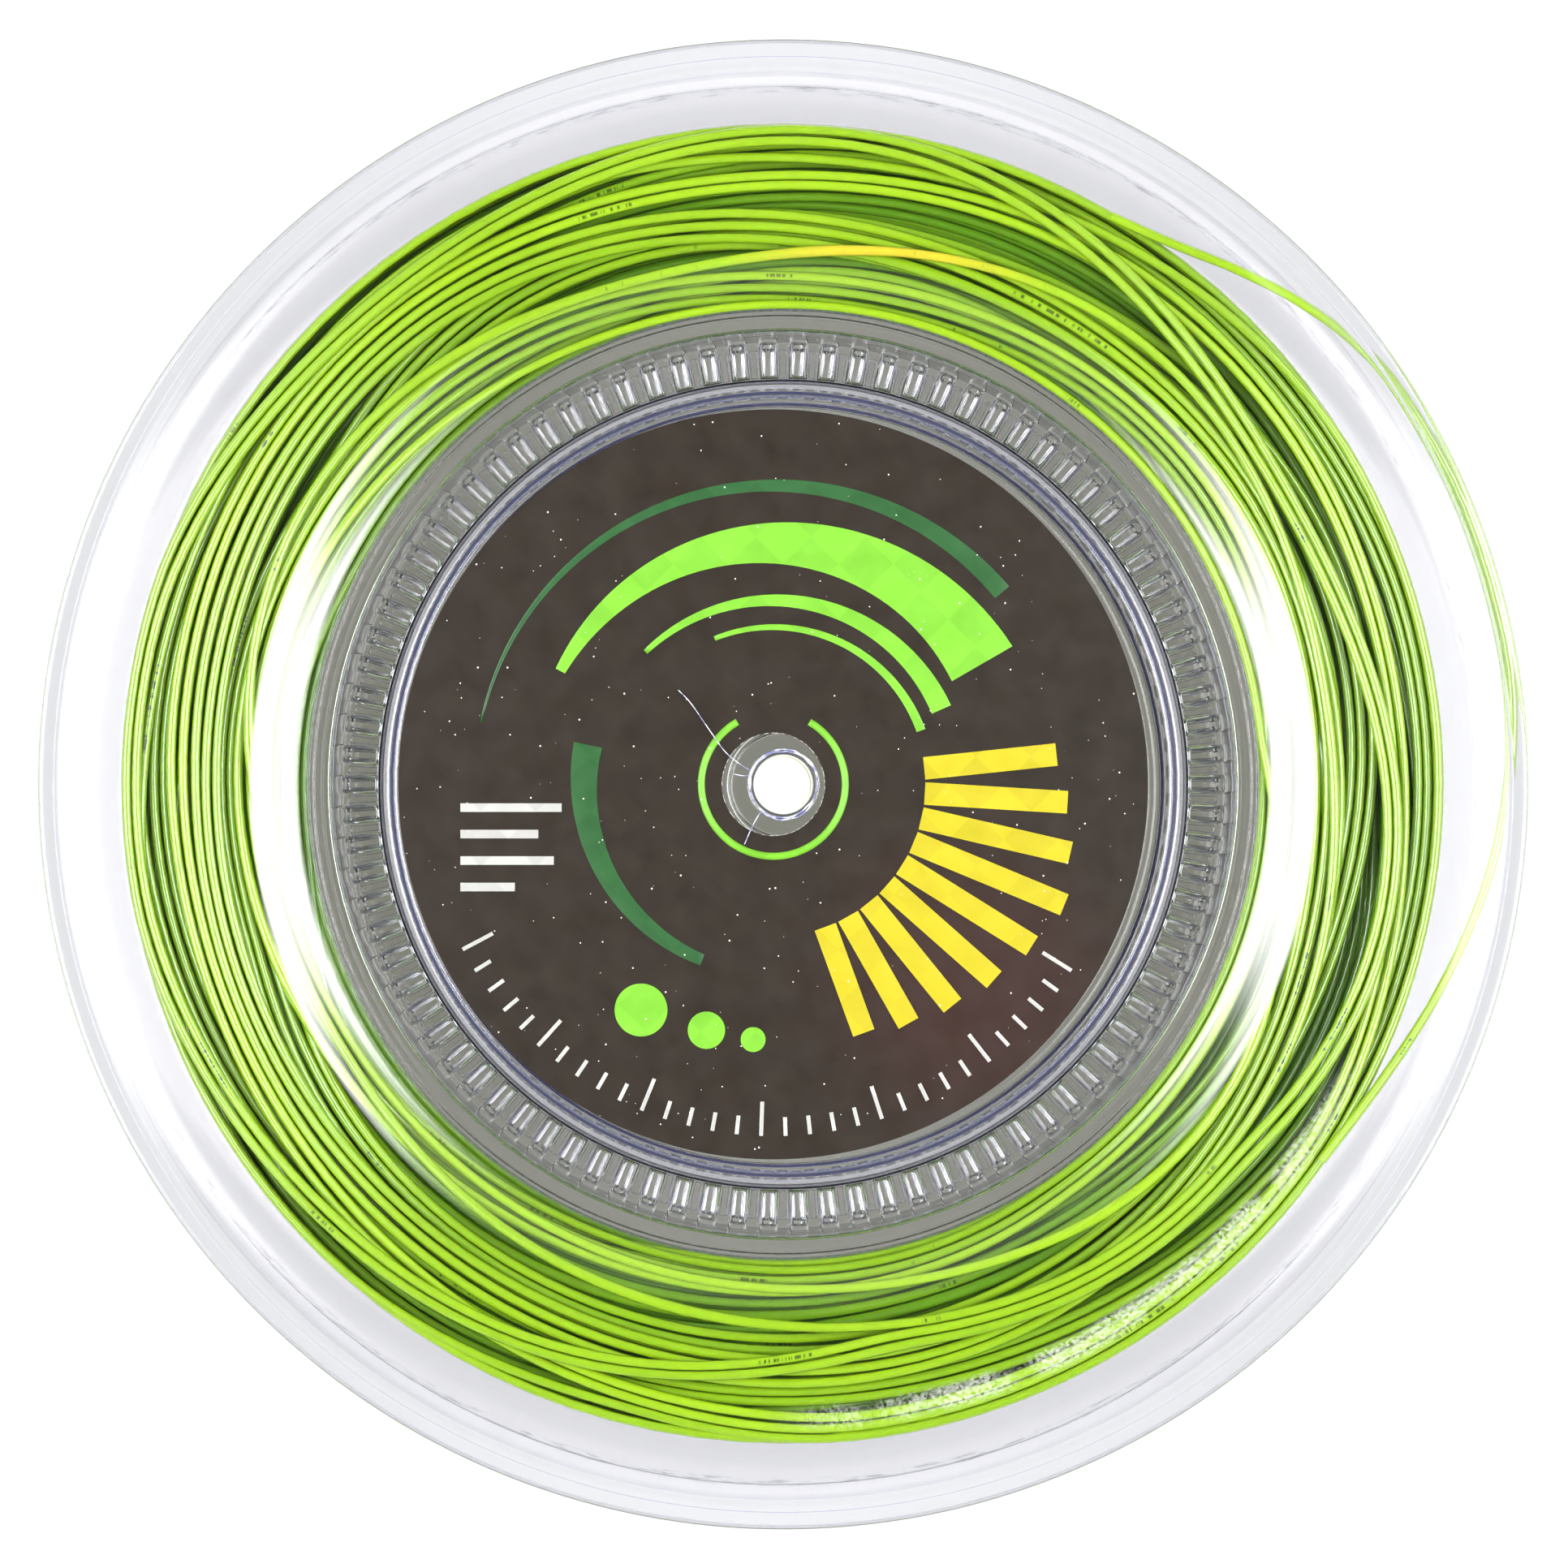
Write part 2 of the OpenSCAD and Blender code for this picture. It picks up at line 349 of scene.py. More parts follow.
def ramp(tree, value, start, end, low=0.0, high=1.0, curve="LINEAR"):
    """Low where the value is at start, high where it is at end, and held beyond them."""
    inputs = {"Value": value, "From Min": start, "From Max": end, "To Min": low, "To Max": high}
    return add(tree, "ShaderNodeMapRange", inputs, interpolation_type=curve).outputs[0]


def near(tree, value, middle, far, close, high=1.0, curve="LINEAR"):
    """A share that rises to high as the value comes from far away to close by the middle."""
    away = maths(tree, "ABSOLUTE", maths(tree, "SUBTRACT", value, middle))
    return ramp(tree, away, far, close, 0.0, high, curve)


def blend(tree, share, first, second):
    """A colour that passes from the first to the second."""
    inputs = {0: share, 6: first, 7: second}
    return add(tree, "ShaderNodeMix", inputs, data_type="RGBA").outputs[2]


def noise(tree, vector, scale, detail=2.0):
    """Cloudy noise whose largest cells are 1 / scale metres across."""
    inputs = {"Vector": vector, "Scale": scale, "Detail": detail}
    return add(tree, "ShaderNodeTexNoise", inputs).outputs["Fac"]


def split(tree, vector):
    """The outputs X, Y and Z of a vector."""
    return add(tree, "ShaderNodeSeparateXYZ", {0: vector}).outputs


def facing_up(tree):
    """1 where the surface faces up, 0 where it stands and -1 where it faces down."""
    return split(tree, add(tree, "ShaderNodeNewGeometry").outputs["Normal"])["Z"]


def measure(tree, operation, *vectors):
    """The length of a vector, or the distance from one to another."""
    inputs = dict(enumerate(vectors))
    return add(tree, "ShaderNodeVectorMath", inputs, operation=operation).outputs["Value"]


def bumps(tree, height, depth):
    """The normal of a surface with bumps of a depth in metres."""
    return add(tree, "ShaderNodeBump", {"Height": height, "Distance": depth}).outputs[0]


def principled(tree, inputs):
    return add(tree, "ShaderNodeBsdfPrincipled", inputs).outputs[0]


def layered(tree, share, under, over):
    """A surface that passes from the one under to the one over it."""
    return add(tree, "ShaderNodeMixShader", {0: share, 1: under, 2: over}).outputs[0]


def bare_tree(owner):
    """The emptied node tree of a material, a lamp or the world."""
    owner.use_nodes = True
    owner.node_tree.nodes.clear()
    return owner.node_tree


def new_material(name):
    """A material without a surface, its node tree and its place in the object's own metres."""
    material = bpy.data.materials.new(name)
    tree = bare_tree(material)
    return material, tree, add(tree, "ShaderNodeTexCoord").outputs["Object"]


def surfaced(material, surface):
    """The material, finished with its surface."""
    add(material.node_tree, "ShaderNodeOutputMaterial", {"Surface": surface})
    return material


# ---- Materials ----

# Where another reel has rubbed the front flange: the direction and the radius of the rub
RUB_ANGLE = radians(-58)
RUB_RADIUS = 81.2 * MM

# Painted lines that stand in for the dark edge that refraction draws at the label's seat: a blue
# one on the seat's wall and a grey one on the lip outside it. For each, how far it lies outside
# the seat's edge, its half width and how well it covers the plastic
SEAT_PAINTED_LINES = ((-0.25 * MM, 0.15 * MM, 0.85), (0.57 * MM, 0.2 * MM, 0.5))

# Middle of the warm patch in the label's ink
WARM_SPOT = (24 * MM, -26 * MM, 32 * MM)

# Index of refraction of polystyrene
POLYSTYRENE_IOR = 1.59


def chips(tree, bead, radius, turn, height):
    """Share of the chips along the inside of a bead, each 2 to 8 mm long round the reel."""
    polar = add(tree, "ShaderNodeCombineXYZ", {"X": turn, "Y": radius, "Z": height})
    # Scale for each radian round the reel, metre along the radius and metre of height
    inputs = {"Vector": polar.outputs[0], "Scale": (22, 3200, 900)}
    stretched = add(tree, "ShaderNodeMapping", inputs).outputs[0]
    rubbed = ramp(tree, noise(tree, stretched, 1.0), 0.56, 0.72)
    return product(tree, rubbed, near(tree, radius, bead - 0.4 * MM, 0.7 * MM, 0.3 * MM))


def frost(tree, place, radius, turn, front):
    """Share of the white frost in the rubbed patch, with grains of some tenths of a mm."""
    grains = ramp(tree, noise(tree, place, 2200.0), 0.4, 0.62, 0.0, 0.34)
    side = near(tree, turn, RUB_ANGLE, radians(34), radians(20))
    stretches = ramp(tree, noise(tree, place, 70.0), 0.36, 0.5)
    ring = near(tree, radius, RUB_RADIUS, 2.2 * MM, 0.6 * MM, curve="SMOOTHSTEP")
    return product(tree, grains, side, stretches, ring, front)


def crystal_polystyrene(spool):
    """Crystal polystyrene, injection moulded in a polished tool.

    It is as clear as glass and bends light a little more, so every edge draws a bright line, and
    the walls seen edge-on are painted lavender. The bead, the seat's edge and the mouth of the
    bore carry painted shade. Handling leaves it rubbed and chipped along the rims.
    """
    material, tree, place = new_material("Crystal polystyrene, polished mould")
    flat = add(tree, "ShaderNodeVectorMath", {0: place, 1: (1, 1, 0)}, operation="MULTIPLY")
    radius = measure(tree, "LENGTH", flat.outputs[0])
    axes = split(tree, place)
    height = axes["Z"]
    turn = maths(tree, "ARCTAN2", axes["Y"], axes["X"])
    bead = spool.reel_radius - spool.bead_width
    flare = spool.flare_width
    # The rear bead is chipped where it rests, and the front half is rubbed instead
    front = maths(tree, "GREATER_THAN", height, spool.reel_width / 2)
    chipped = ramp(tree, front, 0.0, 1.0, 0.6, 0.0)
    frosted = frost(tree, place, radius, turn, front)
    # Fine haze and hairline scuffs all over, at most a millimetre apart
    haze = ramp(tree, noise(tree, place, 900.0, 4.0), 0.4, 0.8, 0.0, 0.003)
    # The bead and the band beside it are painted grey: partly rubbing from handling, partly
    # painted shade for the light that refraction turns away from the bead
    rubbed_and_painted_grey = ramp(tree, radius, bead - 0.35 * flare, bead - 0.15 * flare, 0.0, 0.15)
    haze = maths(tree, "MULTIPLY_ADD", rubbed_and_painted_grey, front, haze)
    haze = maths(tree, "ADD", haze, frosted)
    worn = chips(tree, bead, radius, turn, height)
    cover = maths(tree, "MULTIPLY_ADD", worn, chipped, haze)
    seat_edge = spool_levels(spool)[1]["seat_edge"]
    # Painted blue and grey lines at the seat's edge, standing in for its refraction
    lines = [
        near(tree, radius, seat_edge + offset, reach + 0.1 * MM, reach, share)
        for offset, reach, share in SEAT_PAINTED_LINES
    ]
    # The mouth of the bore is painted dark: painted shade where the bore's wall is seen edge-on
    bore = spool.bore_radius
    mouth = ramp(tree, radius, bore + 0.45 * MM, bore + 0.3 * MM, 0.0, 0.8)
    painted_bore_shade = product(tree, mouth, ramp(tree, height, 29 * MM, 30 * MM))
    for share in (*lines, painted_bore_shade):
        cover = maths(tree, "ADD", cover, share, clamp=True)
    # Colour of the scuffs and chips, of the frost, of the painted seat lines and of the painted
    # shade in the bore
    scuffs_and_painted_shade = blend(tree, lines[0], ink("#5C5D62"), ink("#0C1048"))
    scuffs_and_painted_shade = blend(tree, ramp(tree, frosted, 0.0, 0.1), scuffs_and_painted_shade, ink("#A2A49A"))
    scuffs_and_painted_shade = blend(tree, painted_bore_shade, scuffs_and_painted_shade, ink("#131316"))
    # Outside the winding the plastic is painted a shade greyer: painted shade that dims the floor
    # seen through the flare and bead
    outer = ramp(tree, radius, bead - 1.4 * flare, bead - 1.3 * flare)
    clear = blend(tree, outer, ink("#F8F8F9"), ink("#F2F2F4"))
    # Walls seen edge-on are painted lavender, by the angle they are seen at: a painted tint
    # standing in for the colour that refraction gives the plastic's edges
    facing = add(tree, "ShaderNodeLayerWeight").outputs["Facing"]
    clear = blend(tree, ramp(tree, facing, 0.5, 0.8), clear, ink("#B4B8F0"))
    # The mould left shallow waves, about 17 mm across
    waves = bumps(tree, noise(tree, place, 60.0, 1.0), 0.02 * MM)
    glassy = {"Base Color": clear, "Transmission Weight": 1.0, "Normal": waves}
    polished = principled(tree, {**glassy, "Roughness": 0.02, "IOR": POLYSTYRENE_IOR})
    # The flare mirrors and bends less than the rest, and blurs what lies behind it a little
    flared = principled(tree, {**glassy, "Roughness": 0.05, "IOR": 1.3})
    # The scuffed surface also carries the painted lines and the painted shade
    scuffed_and_painted = principled(tree, {"Base Color": scuffs_and_painted_shade, "Roughness": 0.6})
    body = layered(tree, ramp(tree, radius, bead - flare, bead - 0.8 * flare), polished, flared)
    body = layered(tree, cover, body, scuffed_and_painted)
    # Lamps shine through each surface instead of being stopped by the solid
    shadow = add(tree, "ShaderNodeLightPath").outputs["Is Shadow Ray"]
    passed = add(tree, "ShaderNodeBsdfTransparent", {"Color": ink("#F3F3F4")}).outputs[0]
    return surfaced(material, layered(tree, shadow, body, passed))


def stressed_polystyrene():
    """Polystyrene flash drawn into threads, which turns milky and a little lavender."""
    material, tree, place = new_material("Polystyrene flash, stress whitened")
    # Milky stretches about 1 mm long
    milky = ramp(tree, noise(tree, place, 900.0), 0.4, 0.6)
    tone = blend(tree, milky, ink("#62648C"), ink("#B9BAC4"))
    plastic = {"Base Color": tone, "Roughness": 0.35, "IOR": POLYSTYRENE_IOR}
    return surfaced(material, principled(tree, {**plastic, "Transmission Weight": 0.2}))


def gauge_marks(tree, place, tone):
    """Share of the dark ticks, half a millimetre long, that come in runs along a few strands."""
    axes = split(tree, place)
    turn = maths(tree, "ARCTAN2", axes["Y"], axes["X"])
    strand = add(tree, "ShaderNodeCombineXYZ", {"X": turn, "Y": tone}).outputs[0]
    shares = []
    # Runs are some 25 mm long, ticks and gaps about 0.5 mm
    for scale, low, high in (((3.5, 90, 1), 0.66, 0.67), ((190, 90, 1), 0.48, 0.54)):
        grid = add(tree, "ShaderNodeMapping", {"Vector": strand, "Scale": scale}).outputs[0]
        shares.append(ramp(tree, noise(tree, grid, 1.0), low, high))
    # They lie on the side of a strand that faces the flange
    side = maths(tree, "ABSOLUTE", facing_up(tree))
    return product(tree, *shares, ramp(tree, side, 0.9, 0.94, 0.0, 0.75))


def monofilament(name, colours, tone=None):
    """Co-polyester monofilament, extruded, drawn and coated with a slick film.

    The skin is smooth and tight, so each strand carries one thin white line. The dyed body runs
    from a deeper to a lighter colour with a tone: the tone differs at random from strand to
    strand, and deeper strands get lower tones, painted shade where the strands above shade them.
    Without a tone of its own the strand takes the one stored along it.
    """
    material, tree, place = new_material(name)
    if tone is None:
        tone = add(tree, "ShaderNodeAttribute", attribute_name="tone").outputs["Fac"]
    # Dye varies over some centimetres along a strand, and from strand to strand; the tone also
    # darkens deeper strands as painted shade
    along = noise(tree, place, 45.0)
    share = maths(tree, "MULTIPLY_ADD", along, 0.3, tone)
    body = blend(tree, share, rgba(colours.string_dark), rgba(colours.string_light))
    # A tone above 1 turns a stretch of the strand golden
    body = blend(tree, ramp(tree, tone, 1.05, 1.7), body, rgba(colours.string_gold))
    body = blend(tree, gauge_marks(tree, place, tone), body, ink("#141A08"))
    # Draw lines of the die, under half a millimetre apart and hardly felt
    drawn = bumps(tree, noise(tree, place, 2500.0), 0.01 * MM)
    surface = principled(
        tree,
        {
            "Base Color": body,
            "Roughness": ramp(tree, along, 0.0, 1.0, 0.1, 0.22),
            "IOR": 1.58,
            "Subsurface Weight": 0.5,
            "Subsurface Radius": (0.6, 1.0, 0.25),
            "Subsurface Scale": 0.9 * MM,
            "Normal": drawn,
            "Coat Weight": 1.0,
            "Coat Roughness": 0.08,
            "Coat IOR": 1.5,
        },
    )
    return surfaced(material, surface)


def dust(tree, place):
    """Share of dust specks, 0.1 to 0.3 mm across, in loose clusters about 9 mm apart."""
    inputs = {"Vector": place, "Scale": 600.0}
    specks = add(tree, "ShaderNodeTexVoronoi", inputs, voronoi_dimensions="2D").outputs
    draws = add(tree, "ShaderNodeSeparateColor", {0: specks["Color"]}).outputs
    reach = ramp(tree, draws["Green"], 0.3, 1.0, 0.03, 0.09)
    rarity = ramp(tree, noise(tree, place, 110.0), 0.4, 0.65, 0.98, 0.75)
    chosen = maths(tree, "GREATER_THAN", draws["Blue"], rarity)
    return product(tree, ramp(tree, specks["Distance"], reach, 0.0), chosen)


def printed_film(name, colour, glow):
    """Printed paper under a satin film: even ink with a soft sheen, dust and light wear.

    Faint diamonds show in the ink, and towards the lower right it turns to the glow's colour.
    """
    material, tree, place = new_material(name)
    # Ink mottle about 4 mm across
    mottle = noise(tree, place, 250.0, 3.0)
    # Diamonds 5 mm across
    turned = add(tree, "ShaderNodeMapping", {"Vector": place, "Rotation": (0, 0, radians(45))})
    inputs = {"Vector": turned.outputs[0], "Scale": 200.0}
    diamonds = add(tree, "ShaderNodeTexChecker", inputs).outputs["Fac"]
    tone = maths(tree, "MULTIPLY_ADD", diamonds, 0.3, mottle)
    deeper = rgba([c * 0.75 for c in colour])
    film = blend(tree, tone, deeper, rgba([min(1, c * 1.1) for c in colour]))
    away = measure(tree, "DISTANCE", place, WARM_SPOT)
    warmth = ramp(tree, away, 4 * MM, 26 * MM, 0.7, 0.0, "SMOOTHSTEP")
    film = blend(tree, warmth, film, rgba(glow))
    film = blend(tree, dust(tree, place), film, ink("#D8D6D0"))
    # The back is bare paper, seen through the rear half
    back = ramp(tree, facing_up(tree), -0.5, -0.8)
    surface = principled(
        tree,
        {
            "Base Color": blend(tree, back, film, ink("#8C8A84")),
            "Roughness": ramp(tree, mottle, 0.0, 1.0, 0.28, 0.42),
            "IOR": 1.5,
            "Specular IOR Level": 0.25,
        },
    )
    return surfaced(material, surface)


def cut_paper():
    """Torn fibres of the label's paper core, white and matt where the knife left them."""
    material, tree, place = new_material("Paper core, knife cut")
    # Tufts of fibre about 0.5 mm long, with bare ink between them
    tufts = ramp(tree, noise(tree, place, 2000.0), 0.4, 0.6)
    colour = blend(tree, tufts, ink("#2A2620"), ink("#8F8E8A"))
    return surfaced(material, principled(tree, {"Base Color": colour, "Roughness": 0.8}))


def studio_paper(colour, bore):
    """Seamless paper on a light table: matt, with painted light and shade under the reel: a
    glowing spot below the bore, a dark rim round it and a dimmer, yellower glow below the hub.
    """
    material, tree, place = new_material("Seamless paper, matt")
    away = measure(tree, "LENGTH", place)
    # A glowing spot below the bore: painted light that shows white through the bore
    spot = ramp(tree, away, bore, bore * 1.04, 1.2, 0.0)
    # The table's glow is painted dimmer and yellower in the middle, below the hub: painted shade
    # of the hub, tinted as painted light from the string
    table = ramp(tree, away, bore * 15, bore * 21, 0.46, 1.0, "SMOOTHSTEP")
    # A painted dark rim between that spot and the sleeve: painted shade of the bore's wall
    strength = ramp(tree, away, bore * 1.15, bore * 1.3, 0.0, TABLE_RADIANCE)
    # Pulp varies over some millimetres
    pulp = noise(tree, place, 400.0)
    deeper, paler = (rgba([c * factor for c in colour]) for factor in (0.99, 1.01))
    surface = principled(
        tree,
        {
            "Base Color": blend(tree, pulp, deeper, paler),
            "Roughness": 0.9,
            "Specular IOR Level": 0.2,
            "Emission Color": blend(tree, table, (1.0, 1.02, 0.6, 1.0), (1.0, 1.0, 1.0, 1.0)),
            "Emission Strength": maths(tree, "MULTIPLY_ADD", table, strength, spot),
        },
    )
    return surfaced(material, surface)


def soften_edges(lamp):
    """Let a softbox fade towards its edges, as its cloth does."""
    tree = bare_tree(lamp)
    axes = split(tree, add(tree, "ShaderNodeNewGeometry").outputs["Parametric"])
    fades = [near(tree, axes[axis], 0.5, 0.5, 0.18, curve="SMOOTHSTEP") for axis in ("X", "Y")]
    cloth = add(tree, "ShaderNodeEmission", {"Strength": product(tree, *fades)})
    add(tree, "ShaderNodeOutputLight", {"Surface": cloth.outputs[0]})


def studio_walls():
    """White studio walls that darken towards the ceiling, which the labelled face mirrors."""
    world = bpy.data.worlds.new("Soft white studio")
    tree = bare_tree(world)
    up = split(tree, add(tree, "ShaderNodeTexCoord").outputs["Generated"])["Z"]
    strength = ramp(tree, up, 0.1, 0.95, WALL_RADIANCE, CEILING_RADIANCE)
    light = add(tree, "ShaderNodeBackground", {"Color": (1, 1, 1, 1), "Strength": strength})
    add(tree, "ShaderNodeOutputWorld", {"Surface": light.outputs[0]})
    return world


# ---- Shapes of the spool ----

# The halves stop this far from the middle of the reel, so that a hair of air parts them
PARTING_GAP = 0.05 * MM

# Faces across each pitch of the teeth, the half width of a tooth as a share of that pitch, and
# the rounding of its edges
PITCH_FACES = 10
TOOTH_SHARE = 0.21
TOOTH_ROUND = 0.4 * MM

# Points along the curve of the step and of the flare
CURVE_POINTS = 14

# Thickness of the flash round the mouth of the bore and of its wisps, and for each rim of the
# flash the seed of its jags and how far inside the mouth it lies
FLASH_WIDTH = 0.22 * MM
WISP_WIDTH = 0.13 * MM
FLASH_RIMS = ((4, 0.1 * MM), (5, -0.05 * MM))

# How far the flash strays, how far it lies above the seat and the points round it
FLASH_JAG = 0.16 * MM
FLASH_LIFT = 0.04 * MM
FLASH_POINTS = 120


def spool_levels(spool):
    """Heights above the middle of the reel and radii, named as on a drawing of one half."""
    level = {"rim": spool.reel_width / 2}
    level["flare"] = level["rim"] - spool.bead_rise
    level["flange"] = level["flare"] - spool.flare_rise
    level["face"] = level["flange"] - spool.recess_depth
    level["seat"] = level["face"] - spool.seat_depth
    ring = {"reel": spool.reel_radius, "bead": spool.reel_radius - spool.bead_width}
    ring["flare"] = ring["bead"] - spool.flare_width
    ring["step"] = spool.hub_radius + spool.recess_land
    ring["flange"] = ring["step"] + spool.recess_width
    ring["hub"] = spool.hub_radius
    ring["hub_inner"] = spool.hub_radius - spool.hub_wall
    ring["tooth_outer"] = ring["hub_inner"] - spool.tooth_margin
    ring["tooth_inner"] = ring["tooth_outer"] - spool.tooth_depth
    ring["seat_edge"] = ring["tooth_inner"] - spool.seat_land
    ring["seat"] = ring["seat_edge"] - spool.seat_draft
    return level, ring


def step_height(spool, radius):
    """Height of the flange's outer face at a radius, across the step, above the middle."""
    level, ring = spool_levels(spool)
    t = min(1, max(0, (radius - ring["step"]) / spool.recess_width))
    return level["face"] + (level["flange"] - level["face"]) * (1 - cos(pi * t)) / 2


def flare_height(spool, radius):
    """Height of the flange's outer face at a radius, across the flare, above the middle."""
    level, ring = spool_levels(spool)
    t = min(1, max(0, (radius - ring["flare"]) / spool.flare_width))
    return level["flange"] + spool.flare_rise * (1 - cos(pi * t / 2))


def half_section(spool):
    """Closed section of one half as (radius, height) above the middle of the reel."""
    level, ring = spool_levels(spool)
    shares = [i / CURVE_POINTS for i in range(CURVE_POINTS + 1)]
    step = [ring["step"] + spool.recess_width * share for share in shares]
    flare = [ring["flare"] + spool.flare_width * share for share in shares]
    inner_face = level["face"] - spool.wall
    inner_seat = level["seat"] - spool.wall
    sleeve = spool.bore_radius + spool.sleeve_wall
    corners = [
        (spool.bore_radius, PARTING_GAP, 0.2 * MM),
        (spool.bore_radius, spool.bore_land, 0.3 * MM),
        (spool.bore_radius + spool.bore_lead, level["seat"], 0.3 * MM),
        (ring["seat"], level["seat"], 0.5 * MM),
        (ring["seat_edge"], level["face"], 0.6 * MM),
        *((r, step_height(spool, r), 0) for r in step),
        *((r, flare_height(spool, r), 0) for r in flare[:-1]),
        (ring["bead"], level["flare"], 0.3 * MM),
        (ring["bead"], level["rim"], spool.bead_round),
        (ring["reel"], level["rim"], spool.bead_round),
        (ring["reel"], level["flare"] - spool.wall, spool.bead_round),
        *((r, flare_height(spool, r) - spool.wall, 0) for r in reversed(flare)),
        *((r, step_height(spool, r) - spool.wall, 0) for r in reversed(step)),
        (ring["hub"], inner_face, 0.4 * MM),
        (ring["hub"], PARTING_GAP, 0.25 * MM),
        (ring["hub_inner"], PARTING_GAP, 0.25 * MM),
        (ring["hub_inner"], inner_face, 0.5 * MM),
        (ring["tooth_outer"], inner_face, 0),
        (ring["tooth_inner"], inner_face, 0),
        (ring["seat_edge"] + spool.wall, inner_face, 0.3 * MM),
        (ring["seat"] + spool.wall, inner_seat, 0.4 * MM),
        (sleeve, inner_seat, 0.5 * MM),
        (sleeve, PARTING_GAP, 0.25 * MM),
    ]
    return rounded(corners), inner_face


def spool_half(spool):
    """Bmesh of one moulding with its ring of teeth, the middle of the reel at z = 0."""
    section, inner_face = half_section(spool)
    ring = spool_levels(spool)[1]
    pitch = 2 * pi / spool.tooth_count
    bm = sector(section, pitch, PITCH_FACES)
    half_tooth = pitch * TOOTH_SHARE

    def carries_tooth(face):
        middle = face.calc_center_median()
        return (
            abs(middle.z - inner_face) < 0.01 * MM
            and ring["tooth_inner"] < hypot(middle.x, middle.y) < ring["tooth_outer"]
            and abs(atan2(middle.y, middle.x)) < half_tooth
        )

    roots = {face for face in bm.faces if carries_tooth(face)}
    base = {e for face in roots for e in face.edges if not roots.issuperset(e.link_faces)}
    grown = bmesh.ops.extrude_face_region(bm, geom=list(roots))["geom"]
    bmesh.ops.delete(bm, geom=list(roots), context="FACES")
    tips = {part for part in grown if isinstance(part, bmesh.types.BMFace)}
    ends = [part for part in grown if isinstance(part, bmesh.types.BMVert)]
    bmesh.ops.translate(bm, verts=ends, vec=(0, 0, -spool.tooth_lap - inner_face))
    rim = {e for face in tips for e in face.edges if sum(f in tips for f in e.link_faces) == 1}
    upright = {
        e for v in ends for e in v.link_edges if e not in rim and e.calc_face_angle(0) > 0.5
    }
    bmesh.ops.bevel(
        bm,
        geom=[*rim, *upright, *base],
        offset=TOOTH_ROUND,
        affect="EDGES",
        segments=3,
        profile=0.5,
        material=-1,
    )
    return ringed(bm, spool.tooth_count)


# Three wisps of flash that hang from the mouth of the bore: x, y and lift off the seat, in mm
WISPS = (
    ((-3.6, 1.6, 0.1), (-4.3, 1.8, 0.3), (-5.9, 2.8, 0.8), (-7.6, 4.3, 1.2), (-9.4, 6.8, 1.2),
     (-11.9, 10.4, 0.8), (-13.5, 12.1, 0.4), (-14.5, 13.2, 0.3)),
    ((-4.0, 1.0, 0.2), (-4.4, 1.1, 0.3), (-5.3, 1.1, 0.6), (-6.3, 1.3, 0.7), (-7.0, 1.5, 0.7)),
    ((-2.2, -2.6, 0.2), (-2.7, -3.2, 0.4), (-3.9, -5.2, 0.9), (-5.0, -7.7, 0.8), (-5.6, -9, 0.7)),
)


def bore_flash(spool):
    """Paths of the ragged flash around the bore's mouth and of the wisps that hang from it."""
    top = spool.reel_width / 2 + spool_levels(spool)[0]["seat"]
    mouth = spool.bore_radius + spool.bore_lead
    angles = [2 * pi * m / FLASH_POINTS for m in range(FLASH_POINTS)]
    rims = []
    for seed, inset in FLASH_RIMS:
        jag = wander(random.Random(seed), FLASH_JAG, (2, 3, 5, 8, 13, 21))
        rims.append([around(a, mouth - inset + jag(a), top + FLASH_LIFT) for a in angles])
    wisps = [
        smooth_path([Vector((x * MM, y * MM, top + lift * MM)) for x, y, lift in stops], 8)
        for stops in WISPS
    ]
    return rims, wisps


# ---- Paths of the string ----

# Points round the reel along each strand beside a flange, and how far its groups wander in the
# layer at the flange and in the layers below it
STRAND_POINTS = 150
TOP_WANDER = 4.5 * MM
DEEP_WANDER = 2.6 * MM

# Points along each of the outermost turns
TURN_POINTS = 96

# Height of the ridges on the sides of the core, and faces across each of them
RIDGE = 0.3 * MM
RIDGE_FACES = 4

# Where the golden stretch lies, in degrees round the reel, and its reach in points
GOLD_ANGLE = 80
GOLD_REACH = 7

# For each layer from the flange inwards: the strands in its groups and their range of tones, which
# fall with depth as painted shade
FACE_LAYERS = [
    ((1, 1, 2), (0.55, 0.95)),
    ((3, 3, 2, 1), (0.45, 0.9)),
    ((2, 4, 3), (0.15, 0.5)),
    ((4, 4), (-0.1, 0.15)),
    ((8, 8), (-0.3, -0.1)),
]

# The loose turn: angle, lift off the layer and height above the end of the layer, as in the CAD
LOOSE_ROUTE = [
    (60, 0, 0), (54, 1.4, 0.1), (48, 4.2, 0.3), (43, 6.6, 0.6), (38, 8.5, 1), (32, 9.6, 1.5),
    (22, 10.1, 1.8), (11, 10.1, 1.8), (3, 9.3, 1.6), (-5, 7.8, 1.2), (-12, 5.8, 0.9),
    (-19, 3.6, 0.7), (-27, 1.3, 0.6), (-35, 0, 0.5),
]


def smooth_path(stops, steps):
    """A smooth curve through all but the first and last of the stops."""
    path = []
    for a, b, c, d in zip(stops, stops[1:], stops[2:], stops[3:]):
        for k in range(steps):
            t = k / steps
            path.append(
                b + 0.5 * t * (c - a + t * (2 * a - 5 * b + 4 * c - d + t * (3 * (b - c) + d - a)))
            )
    return path + [stops[-2]]


